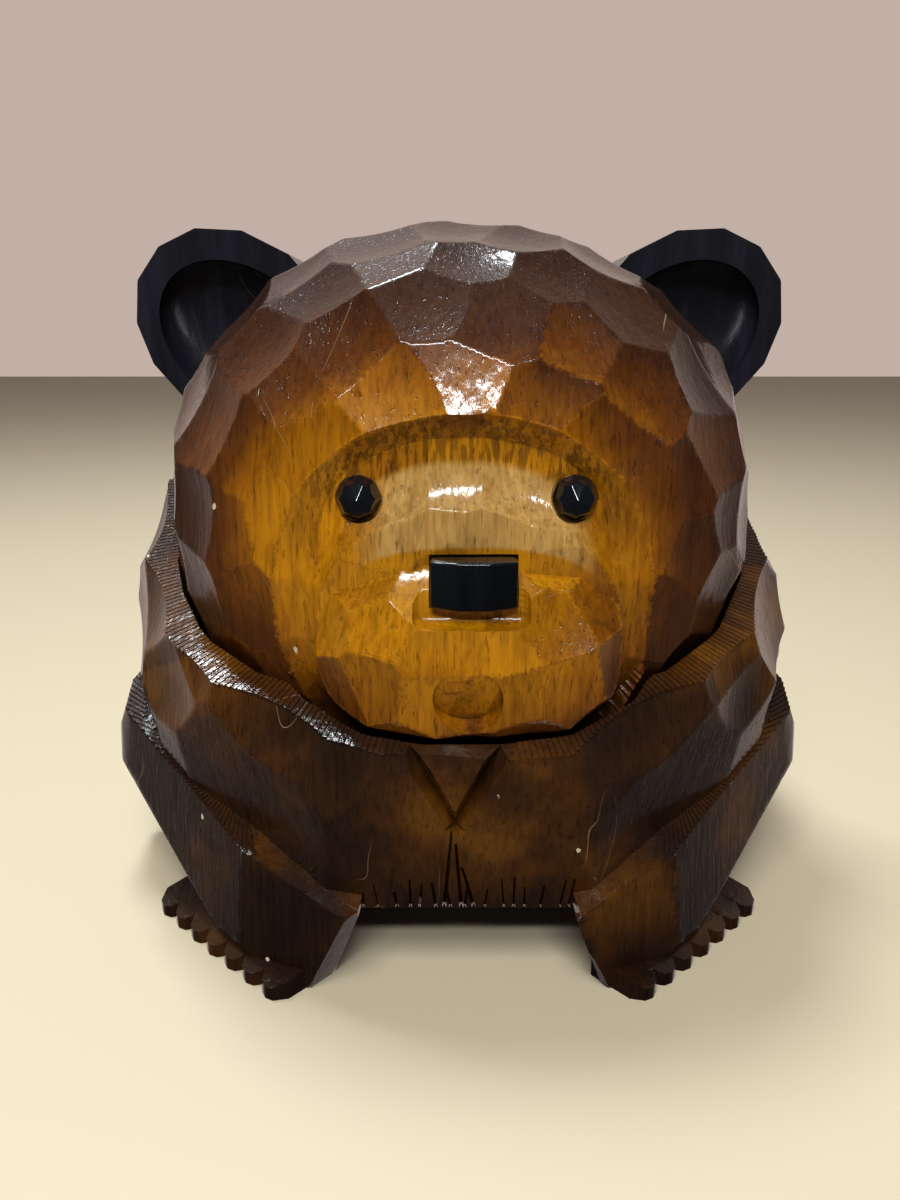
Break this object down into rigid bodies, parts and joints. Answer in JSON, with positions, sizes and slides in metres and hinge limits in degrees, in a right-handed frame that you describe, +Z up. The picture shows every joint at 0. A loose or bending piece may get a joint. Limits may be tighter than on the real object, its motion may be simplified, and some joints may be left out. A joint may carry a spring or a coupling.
{
  "type": "carved wooden bear figurine",
  "caption": "Squat lacquered wooden bear hewn in facets, with a large round head let into a collar, black ears and nose, and bead eyes.",
  "frame": {"origin": "centre of the bounding box on the plane that the four paw soles stand on", "axes": "+Z up, the bear looks along -Y, and +X is to the right of someone facing its face"},
  "size_m": [0.179, 0.1685, 0.1652],
  "materials": {
    "dark_lacquered_wood": "dark brown stain under thick gloss lacquer",
    "amber_lacquered_wood": "amber stain shaded to brown under thick gloss lacquer",
    "black_lacquered_wood": "black gloss lacquer over grain",
    "black_nose_lacquer": "black gloss lacquer",
    "black_bead": "polished black bead",
    "bare_wood": "bare turned dowel"
  },
  "bodies": {
    "root": {"body": "dark_lacquered_wood", "head": "amber_lacquered_wood", "neck_dowel": "bare_wood", "ear_left": "black_lacquered_wood", "ear_right": "black_lacquered_wood", "ear_peg_left": "bare_wood", "ear_peg_right": "bare_wood", "eye_left": "black_bead", "eye_right": "black_bead", "nose": "black_nose_lacquer"}
  },
  "joints": []
}
